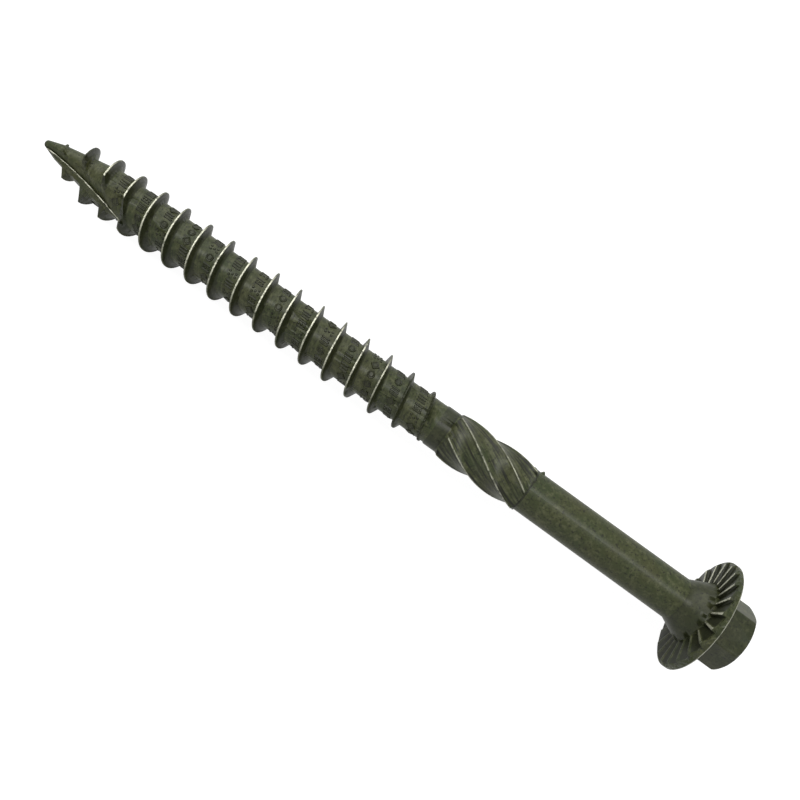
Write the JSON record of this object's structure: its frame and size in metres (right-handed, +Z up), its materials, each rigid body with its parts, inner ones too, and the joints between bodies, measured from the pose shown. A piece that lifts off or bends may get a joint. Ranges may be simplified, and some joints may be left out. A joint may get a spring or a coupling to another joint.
{
  "type": "construction screw",
  "caption": "Hex-flange timber screw with a slashed point, coarse thread, twisted reamer, plain shank and serrated flange, lying at rest.",
  "frame": {"origin": "under the middle of the lying screw, on the surface that it rests on", "axes": "+X from the point towards the head, +Y across, +Z up from the surface; the screw's own axis rises towards the head by 2.3 degrees, because it lies on its flange and its thread"},
  "size_m": [0.106, 0.0152, 0.0152],
  "materials": {
    "green_coating": "satin dark olive green coating over steel, thin on the thread's crests"
  },
  "bodies": {
    "root": {"screw": "green_coating"}
  },
  "joints": []
}
